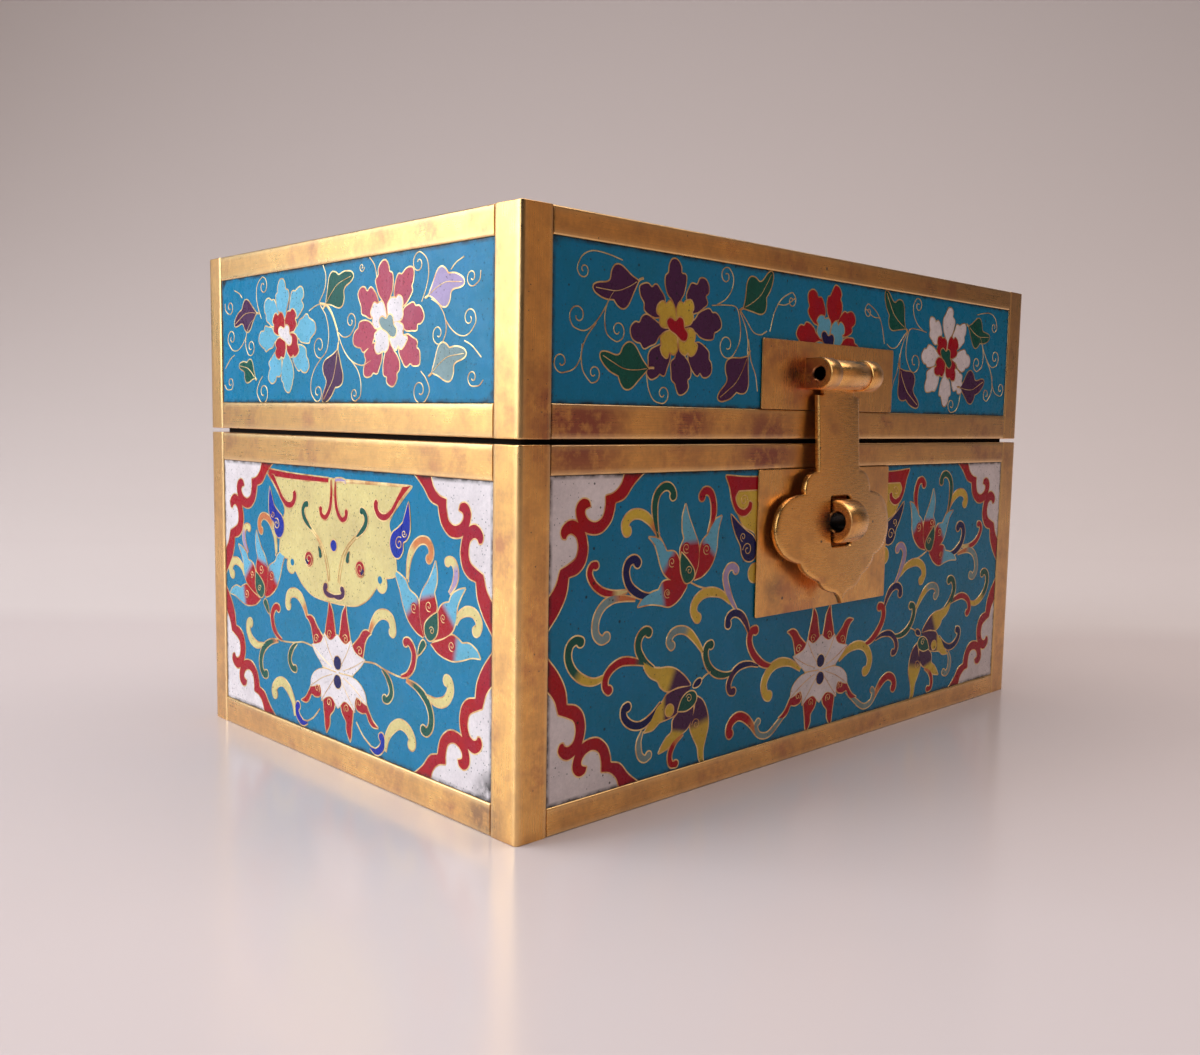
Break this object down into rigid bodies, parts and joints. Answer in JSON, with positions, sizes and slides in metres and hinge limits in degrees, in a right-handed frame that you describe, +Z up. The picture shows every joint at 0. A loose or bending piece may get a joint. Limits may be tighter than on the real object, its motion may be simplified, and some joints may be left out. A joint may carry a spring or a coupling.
{
  "type": "cloisonne enamel box",
  "caption": "Rectangular keepsake box in brass-framed cloisonne enamel panels, with a hinged lid, a lobed hasp over a staple lug in front and butt hinges behind.",
  "frame": {"origin": "middle of the box's underside, at the level it stands on", "axes": "+X right along the front, +Y from the front to the back, +Z up"},
  "size_m": [0.13, 0.0936, 0.08],
  "materials": {
    "frame_brass": "worn satin brass with copper-brown tarnish and fine scratches",
    "hasp_brass": "polished brass",
    "cloisonne_enamel": "glossy stone-polished cloisonne enamel with gilt wires",
    "lining_enamel": "plain glossy counter-enamel"
  },
  "bodies": {
    "box": {"base_plate": "frame_brass", "body_bottom_rail_back": "frame_brass", "body_bottom_rail_front": "frame_brass", "body_bottom_rail_left": "frame_brass", "body_bottom_rail_right": "frame_brass", "body_enamel_back": "cloisonne_enamel", "body_enamel_front": "cloisonne_enamel", "body_enamel_left": "cloisonne_enamel", "body_enamel_right": "cloisonne_enamel", "body_lining": "lining_enamel", "body_post_back_left": "frame_brass", "body_post_back_right": "frame_brass", "body_post_front_left": "frame_brass", "body_post_front_right": "frame_brass", "body_top_rail_back": "frame_brass", "body_top_rail_front": "frame_brass", "body_top_rail_left": "frame_brass", "body_top_rail_right": "frame_brass", "hasp_body_plate": "frame_brass", "hinge_body_leaf_left": "frame_brass", "hinge_body_leaf_right": "frame_brass", "hinge_pin_left": "frame_brass", "hinge_pin_right": "frame_brass", "staple_lug": "hasp_brass"},
    "lid": {"hasp_lid_plate": "frame_brass", "hasp_pin": "hasp_brass", "hinge_lid_leaf_left": "frame_brass", "hinge_lid_leaf_right": "frame_brass", "lid_bottom_rail_back": "frame_brass", "lid_bottom_rail_front": "frame_brass", "lid_bottom_rail_left": "frame_brass", "lid_bottom_rail_right": "frame_brass", "lid_enamel_back": "cloisonne_enamel", "lid_enamel_front": "cloisonne_enamel", "lid_enamel_left": "cloisonne_enamel", "lid_enamel_right": "cloisonne_enamel", "lid_enamel_top": "cloisonne_enamel", "lid_lining": "lining_enamel", "lid_post_back_left": "frame_brass", "lid_post_back_right": "frame_brass", "lid_post_front_left": "frame_brass", "lid_post_front_right": "frame_brass", "lid_top_border_back": "frame_brass", "lid_top_border_front": "frame_brass", "lid_top_border_left": "frame_brass", "lid_top_border_right": "frame_brass", "lid_top_rail_back": "frame_brass", "lid_top_rail_front": "frame_brass", "lid_top_rail_left": "frame_brass", "lid_top_rail_right": "frame_brass"},
    "hasp": {"hasp": "hasp_brass"}
  },
  "joints": [
    {"name": "lid_hinge", "type": "hinge", "parent": "box", "child": "lid", "pos_m": [0, 0.04353, 0.05095], "axis": [-1, 0, 0], "range_deg": [0, 105]},
    {"name": "hasp_hinge", "type": "hinge", "parent": "lid", "child": "hasp", "pos_m": [0, -0.0444, 0.0615], "axis": [-1, 0, 0], "range_deg": [0, 175]}
  ]
}
